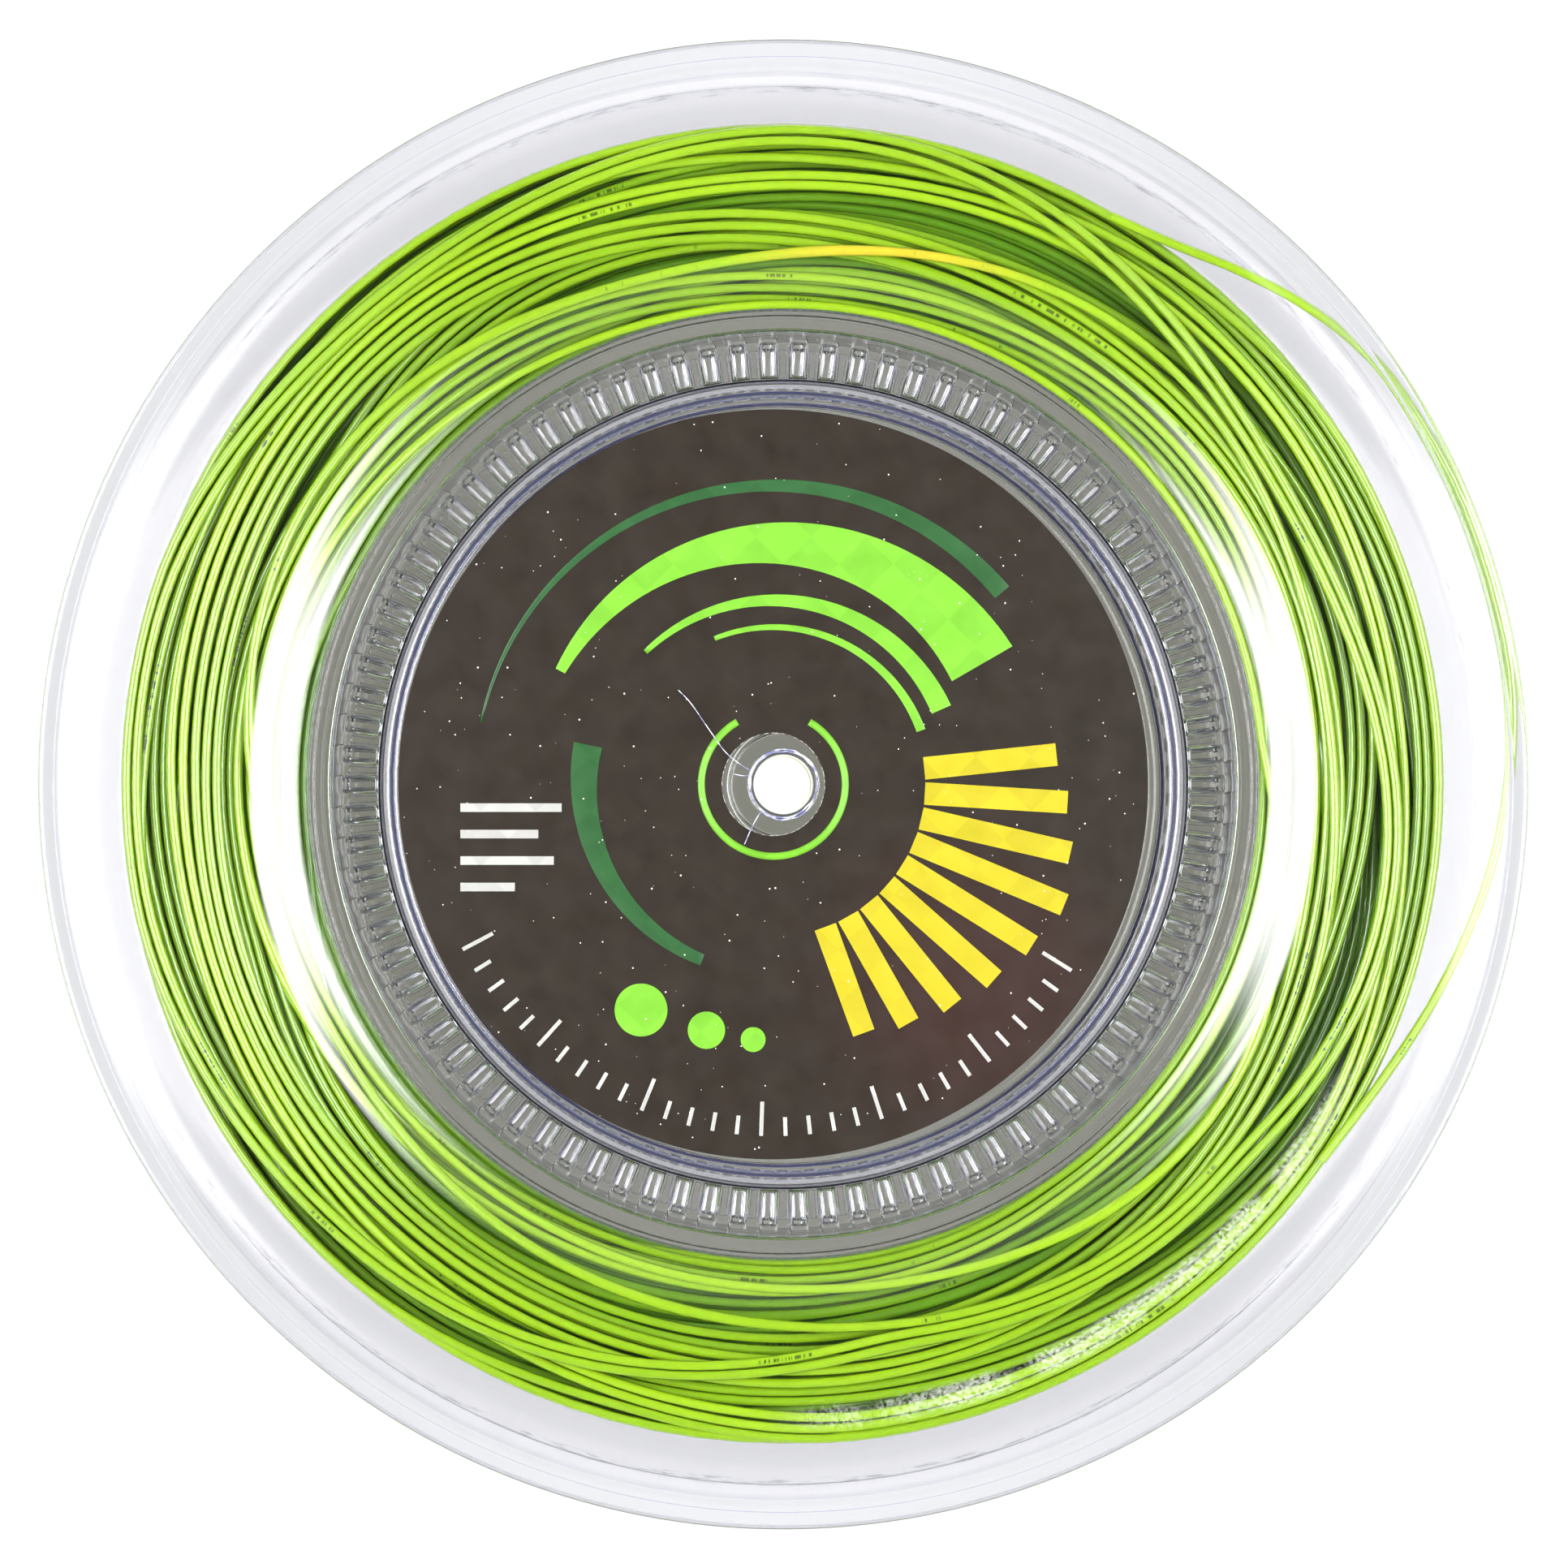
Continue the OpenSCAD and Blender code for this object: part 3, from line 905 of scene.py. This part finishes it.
def loose_path(strings):
    """Path of the turn that has sprung off the winding."""
    stops = [
        around(radians(angle), strings.layer_radius + lift * MM, strings.layer_high + up * MM)
        for angle, lift, up in LOOSE_ROUTE
    ]
    # A further stop on each side gives the path its direction at its ends
    reach = radians(7.5)
    before = around(strings.release_angle + reach, strings.layer_radius, strings.layer_high)
    last_angle, _, last_up = LOOSE_ROUTE[-1]
    height = strings.layer_high + last_up * MM
    after = around(radians(last_angle) - reach, strings.layer_radius, height)
    return smooth_path([before, *stops, after], 4)


def wander(chance, reach, waves):
    """A smooth closed function of the angle that stays within about reach of zero."""
    terms = [
        (n, chance.uniform(0.4, 1.0) * reach / n**0.7, chance.uniform(0, 2 * pi)) for n in waves
    ]
    return lambda angle: sum(swing * sin(n * angle + phase) for n, swing, phase in terms)


def face_layer(chance, groups, low, high, gap, reach):
    """Radii of the strands of one layer, as one list round the reel for each strand.

    The strands lie in groups that wander together. Where groups meet they pack side by side,
    and where they part the layer below shows between them.
    """
    total = sum(groups)
    spare = (high - low) - gap * (total - 1)
    wanted = []
    inner = low
    for count in groups:
        room = spare * count / total
        drift = wander(chance, reach, (1, 2, 3, 4))
        spread = wander(chance, 0.22 * gap, (1, 2, 3, 5))
        for k in range(count):
            own = wander(chance, 0.16 * gap, (3, 4, 6, 7))
            start = inner + room / 2 + k * gap
            wanted.append((start, drift, spread, own, k - (count - 1) / 2))
        inner += count * gap + room
    rows = [[] for _ in wanted]
    for m in range(STRAND_POINTS):
        angle = 2 * pi * m / STRAND_POINTS
        radii = [
            start + drift(angle) + across * abs(spread(angle)) + own(angle)
            for start, drift, spread, own, across in wanted
        ]
        radii[0] = max(low, radii[0])
        for i in range(1, total):
            radii[i] = max(radii[i], radii[i - 1] + gap)
        radii[-1] = min(high, radii[-1])
        for i in range(total - 2, -1, -1):
            radii[i] = min(radii[i], radii[i + 1] - gap)
        for row, radius in zip(rows, radii):
            row.append(radius)
    for _ in range(2):
        rows = [
            [(a + 2 * b + c) / 4 for a, b, c in zip(row[-1:] + row, row, row[1:] + row[:1])]
            for row in rows
        ]
    return rows


def side_strands(spool, strings, seed, up):
    """Closed paths and tones of the strands beside a flange; up is 1 in front, -1 behind."""
    chance = random.Random(seed)
    middle = spool.reel_width / 2
    low = spool.hub_radius + strings.clearance + strings.diameter / 2
    gap = strings.diameter * 1.02
    paths, tones = [], []
    for depth, (groups, span) in enumerate(FACE_LAYERS):
        top = -spool.wall - strings.clearance * 0.5 - strings.diameter * (0.5 + depth)
        reach = DEEP_WANDER if depth else TOP_WANDER
        rows = face_layer(chance, groups, low, strings.layer_radius, gap, reach)
        for row in rows:
            dip = wander(chance, 0.12 * strings.diameter, (2, 3, 5))
            path = []
            for m, radius in enumerate(row):
                angle = 2 * pi * m / STRAND_POINTS
                height = step_height(spool, radius) + top - abs(dip(angle))
                path.append(around(angle, radius, middle + up * height))
            paths.append(path)
            # Deeper layers get lower tones: painted shade where the layers above hide them, with a
            # random spread within each layer
            tones.append([chance.uniform(*span)] * STRAND_POINTS)
    # One golden stretch, about 45 mm long, near the top of the reel
    crown = int(STRAND_POINTS * GOLD_ANGLE / 360)
    golden = min(range(8), key=lambda i: abs(paths[i][crown].xy.length - strings.gold_radius))
    tones[golden] = [
        tone + 1.1 * exp(-(((m - crown) / GOLD_REACH) ** 2))
        for m, tone in enumerate(tones[golden])
    ]
    return paths, tones


def outer_turns(strings):
    """Path of the outermost layer, from the rear flange forward to the loose turn."""
    total = strings.layer_loops * TURN_POINTS
    path = []
    for i in range(total + 1):
        angle = strings.release_angle - 2 * pi * i / TURN_POINTS
        climb = (strings.layer_high - strings.layer_low) * i / total
        sag = 0.12 * MM * (1 + sin(3 * angle)) * sin(i / TURN_POINTS * 2.1) ** 2
        path.append(around(angle, strings.layer_radius - sag, strings.layer_low + climb))
    return path


# ---- Print on the label ----

# Angle of one face along a band of print
ARC_STEP = radians(2.5)

# How far the print reaches down into the label
PRINT_DEPTH = 0.1 * MM

# The cut edge of the label's hole: its thickness, how far it strays and the points round it
CUT_WIDTH = 0.1 * MM
CUT_JAG = 0.04 * MM
CUT_POINTS = 150


def bar(bm, centre, angle, length, width, span):
    """A raised bar of print along an angle; span is its bottom and top height."""
    low, high = span
    place = (
        Matrix.Translation((*centre, (low + high) / 2))
        @ Matrix.Rotation(angle, 4, "Z")
        @ Matrix.Diagonal((length, width, high - low, 1))
    )
    bmesh.ops.create_cube(bm, size=1.0, matrix=place)


def arc(bm, radii, start, end, span, taper=0.0):
    """A raised band of print round the middle; taper is how much narrower it ends."""
    known = set(bm.verts)
    inner, outer = radii
    low, high = span
    corners = ((inner, low), (outer, low), (outer, high), (inner, high))
    sweep(bm, corners, start, end - start, int((end - start) / ARC_STEP) + 1)
    middle = (inner + outer) / 2
    for vert in set(bm.verts) - known:
        radius = hypot(vert.co.x, vert.co.y)
        turned = (atan2(vert.co.y, vert.co.x) - start) % (2 * pi)
        share = 0.0 if turned > 2 * pi - 0.001 else turned / (end - start)
        narrowed = middle + (radius - middle) * (1 - taper * share)
        vert.co.xy = vert.co.xy * (narrowed / radius)


def dot(bm, centre, radius, span):
    """A raised round dot of print."""
    low, high = span
    bmesh.ops.create_cone(
        bm,
        cap_ends=True,
        segments=40,
        radius1=radius,
        radius2=radius,
        depth=high - low,
        matrix=Matrix.Translation((*centre, (low + high) / 2)),
    )


def lime_print(bm, span):
    """Three sweeping bands over the hole, a broken ring around it and three dots."""
    for inner, outer, start, end, taper in (
        (26.5, 35.5, 30, 152, 0.85),
        (22.3, 25.0, 24, 134, 0.75),
        (19.6, 20.8, 20, 112, 0.5),
        (8.8, 9.7, 120, 420, 0.0),
    ):
        arc(bm, (inner * MM, outer * MM), radians(start), radians(end), span, taper)
    for x, y, radius in ((-17, -29, 3.4), (-8.6, -31.6, 2.4), (-2.6, -32.8, 1.6)):
        dot(bm, (x * MM, y * MM), radius * MM, span)


def green_print(bm, span):
    """A dark band outside the lime ones and one low on the left."""
    arc(bm, (37.2 * MM, 39.6 * MM), radians(40), radians(168), span, 0.9)
    arc(bm, (22.5 * MM, 26.2 * MM), radians(168), radians(248), span, 0.6)


def yellow_print(bm, span):
    """A fan of bars on the right."""
    for i in range(9):
        angle = radians(6 - 9.5 * i)
        length = (21 - 1.3 * abs(i - 3)) * MM
        middle = around(angle, 19.5 * MM + length / 2, 0).xy
        bar(bm, middle, angle, length, 2.9 * MM, span)


def white_print(bm, span):
    """Ruled lines low on the left and a scale of ticks along the lower edge."""
    for i, length in enumerate((13, 10, 12, 7)):
        centre = ((length / 2 - 40.2) * MM, (-3 - 3.4 * i) * MM)
        bar(bm, centre, 0, length * MM, 1.1 * MM, span)
    for i in range(31):
        angle = radians(208 + 4 * i)
        length = (4.4 if i % 5 == 0 else 2.4) * MM
        middle = around(angle, 45.2 * MM - length / 2, 0).xy
        bar(bm, middle, angle, length, 0.5 * MM, span)


PRINTS = {
    "lime": lime_print,
    "green": green_print,
    "yellow": yellow_print,
    "white": white_print,
}


# ---- Operators ----


def looking(eye, aim):
    """Placement at eye that looks down its own -Z at aim, with +Y upwards."""
    back = (Vector(eye) - Vector(aim)).normalized()
    right = Vector((0, 1, 0)).cross(back).normalized()
    turn = Matrix((right, back.cross(right), back)).transposed()
    return Matrix.Translation(eye) @ turn.to_4x4()


class REEL_OT_camera(bpy.types.Operator):
    """Look straight down at the labelled face from just under a metre"""

    bl_idname = "reel.camera"
    bl_label = "Camera"

    def execute(self, context):
        data = bpy.data.cameras.new("Camera")
        data.sensor_width = SENSOR_WIDTH
        data.lens = LENS
        camera = bpy.data.objects.new("Camera", data)
        context.collection.objects.link(camera)
        camera.matrix_world = looking(CAMERA_PLACE, CAMERA_AIM)
        context.scene.camera = camera
        return {"FINISHED"}


class REEL_OT_loose_turn(bpy.types.Operator):
    """Add the turn of string that has sprung off the winding"""

    bl_idname = "reel.loose_turn"
    bl_label = "Loose turn"

    def execute(self, context):
        strings = context.scene.reel_string
        path = loose_path(strings)
        turn = tube_curve("loose_string", [path], strings.diameter, False)
        pale = monofilament(
            "Co-polyester monofilament, lone strand", context.scene.reel_colours, 0.9
        )
        turn.data.materials.append(pale)
        context.collection.objects.link(turn)
        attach(turn, BODY)
        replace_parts(turn, "loose_turn")
        return {"FINISHED"}


class REEL_OT_spool(bpy.types.Operator):
    """Add the two clear mouldings of the spool"""

    bl_idname = "reel.spool"
    bl_label = "Spool halves"

    def execute(self, context):
        spool = context.scene.reel_spool
        plastic = crystal_polystyrene(spool)
        middle = Matrix.Translation((0, 0, spool.reel_width / 2))
        turned = Matrix.Rotation(pi / spool.tooth_count, 4, "Z") @ Matrix.Rotation(pi, 4, "X")
        pattern = spool_half(spool)
        for name, node, place in (
            ("front_moulding", "front_half", middle),
            ("rear_moulding", "rear_half", middle @ turned),
        ):
            bm = pattern.copy()
            bm.transform(place)
            half = piece_from(bm, name, plastic)
            even_shading(half)
            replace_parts(half, node)
        pattern.free()
        rims, wisps = bore_flash(spool)
        milky = stressed_polystyrene()
        tubes("bore_flash", rims, FLASH_WIDTH, True, milky, ring=1)
        tubes("bore_wisps", wisps, WISP_WIDTH, False, milky, ring=1)
        return {"FINISHED"}


class REEL_OT_winding(bpy.types.Operator):
    """Add the wound string: its core, its outermost turns and the strands at both flanges"""

    bl_idname = "reel.winding"
    bl_label = "Wound string"

    def execute(self, context):
        spool = context.scene.reel_spool
        strings = context.scene.reel_string
        wound = monofilament("Co-polyester monofilament, wound", context.scene.reel_colours)
        middle = spool.reel_width / 2
        inner = spool.hub_radius + strings.clearance
        outer = strings.layer_radius - strings.diameter * 0.6
        drop = spool.wall + strings.clearance + strings.diameter * (len(FACE_LAYERS) - 0.3)
        count = int((outer - inner) / strings.diameter * RIDGE_FACES)
        radii = [inner + (outer - inner) * i / count for i in range(count + 1)]
        ridge = [
            (r, step_height(spool, r) - drop + RIDGE * abs(sin(pi * i / RIDGE_FACES)))
            for i, r in enumerate(radii)
        ]
        section = [(r, middle + h) for r, h in ridge] + [
            (r, middle - h) for r, h in reversed(ridge)
        ]
        # The core stores no tone, so it takes the darkest colours: painted shade deep in the
        # winding
        core = piece_from(revolved(section), "string_core", wound)
        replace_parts(core, "string_pack")
        path = outer_turns(strings)
        # The tone wanders slowly, in waves of about three and six turns
        tones = [0.6 + 0.25 * sin(i / 41) * sin(i / 97) for i in range(len(path))]
        turns = tubes(
            "string_outer_turns", [path], strings.diameter, False, wound, [tones]
        )
        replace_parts(turns, "string_turns")
        for name, seed, up in (("string_front_strands", 11, 1), ("string_rear_strands", 23, -1)):
            paths, tones = side_strands(spool, strings, seed, up)
            tubes(name, paths, strings.diameter, True, wound, tones)
        return {"FINISHED"}


class REEL_OT_label(bpy.types.Operator):
    """Add the round label in its seat"""

    bl_idname = "reel.label"
    bl_label = "Label"

    def execute(self, context):
        label = context.scene.reel_label
        spool = context.scene.reel_spool
        colours = context.scene.reel_colours
        seat = spool.reel_width / 2 + spool_levels(spool)[0]["seat"]
        film = printed_film("Printed film, charcoal", colours.label_ground, colours.label_glow)
        corners = [
            (label.hole_radius, seat, 0),
            (label.hole_radius, seat + label.thickness, 0.05 * MM),
            (label.radius, seat + label.thickness, 0.05 * MM),
            (label.radius, seat, 0),
        ]
        shift = Vector((-label.shift, 0, 0))

        def stuck(bm, name, material):
            """A piece of the label, moved to where the label sits."""
            bmesh.ops.translate(bm, verts=bm.verts, vec=shift)
            piece = piece_from(bm, name, material)
            even_shading(piece)
            return piece

        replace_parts(stuck(revolved(rounded(corners)), "label_disc", film), "label")
        top = seat + label.thickness
        span = (top - PRINT_DEPTH, top + label.print_rise)
        for name, draw in PRINTS.items():
            bm = bmesh.new()
            draw(bm, span)
            bmesh.ops.holes_fill(bm, edges=[edge for edge in bm.edges if edge.is_boundary])
            bmesh.ops.recalc_face_normals(bm, faces=bm.faces)
            colour = getattr(colours, f"label_{name}")
            coloured = printed_film(f"Printed film, {name}", colour, colour)
            stuck(bm, f"label_{name}_print", coloured)
        jag = wander(random.Random(9), CUT_JAG, (5, 9, 17, 31))
        edge = [
            around(angle, label.hole_radius + jag(angle), top) + shift
            for angle in (2 * pi * m / CUT_POINTS for m in range(CUT_POINTS))
        ]
        tubes("label_cut_edge", [edge], CUT_WIDTH, True, cut_paper(), ring=1)
        return {"FINISHED"}


class REEL_OT_stage(bpy.types.Operator):
    """Add the pale floor, the two softboxes and the soft white surroundings"""

    bl_idname = "reel.stage"
    bl_label = "Floor and light"

    def execute(self, context):
        scene = context.scene
        bm = bmesh.new()
        bmesh.ops.create_grid(bm, x_segments=8, y_segments=8, size=FLOOR_REACH)
        mesh = bpy.data.meshes.new("floor")
        bm.to_mesh(mesh)
        bm.free()
        bore = scene.reel_spool.bore_radius
        mesh.materials.append(studio_paper(scene.reel_colours.floor, bore))
        floor = bpy.data.objects.new("floor", mesh)
        context.collection.objects.link(floor)
        for side in (-1, 1):
            lamp = bpy.data.lights.new("Softbox", "AREA")
            lamp.shape = "RECTANGLE"
            lamp.size, lamp.size_y = SOFTBOX_SIZE
            lamp.energy = SOFTBOX_RADIANCE * pi * lamp.size * lamp.size_y
            soften_edges(lamp)
            box = bpy.data.objects.new("Softbox", lamp)
            context.collection.objects.link(box)
            box.matrix_world = looking((SOFTBOX_SIDE * side, 0, SOFTBOX_HEIGHT), (0, 0, 0))
        scene.world = studio_walls()
        scene.view_settings.view_transform = "Standard"
        scene.cycles.max_bounces = 32
        scene.cycles.transmission_bounces = 28
        scene.cycles.transparent_max_bounces = 40
        scene.cycles.glossy_bounces = 8
        scene.cycles.diffuse_bounces = 4
        scene.cycles.sample_clamp_indirect = 6.0
        scene.cycles.use_denoising = True
        return {"FINISHED"}


class REEL_PT_panel(bpy.types.Panel):
    bl_idname = "REEL_PT_panel"
    bl_label = "String Reel"
    bl_space_type = "VIEW_3D"
    bl_region_type = "UI"
    bl_category = "Reel"

    def draw(self, context):
        layout = self.layout
        for operator in OPERATORS:
            layout.operator(operator.bl_idname)
        for holder in GROUPS:
            group = getattr(context.scene, holder)
            box = layout.box()
            for name in group.bl_rna.properties.keys():
                if name not in ("rna_type", "name"):
                    box.prop(group, name)


OPERATORS = (
    REEL_OT_camera,
    REEL_OT_loose_turn,
    REEL_OT_spool,
    REEL_OT_winding,
    REEL_OT_label,
    REEL_OT_stage,
)
GROUPS = {
    "reel_spool": SpoolSizes,
    "reel_string": StringSizes,
    "reel_label": LabelSizes,
    "reel_colours": ReelColours,
}
CLASSES = (*GROUPS.values(), *OPERATORS, REEL_PT_panel)


def register():
    for kind in CLASSES:
        bpy.utils.register_class(kind)
    for name, kind in GROUPS.items():
        setattr(bpy.types.Scene, name, PointerProperty(type=kind))


def unregister():
    for name in GROUPS:
        delattr(bpy.types.Scene, name)
    for kind in reversed(CLASSES):
        bpy.utils.unregister_class(kind)


def main():
    register()
    bpy.ops.reel.camera()
    bpy.ops.reel.loose_turn()
    bpy.ops.reel.spool()
    bpy.ops.reel.winding()
    bpy.ops.reel.label()
    bpy.ops.reel.stage()


if __name__ == "__main__":
    main()
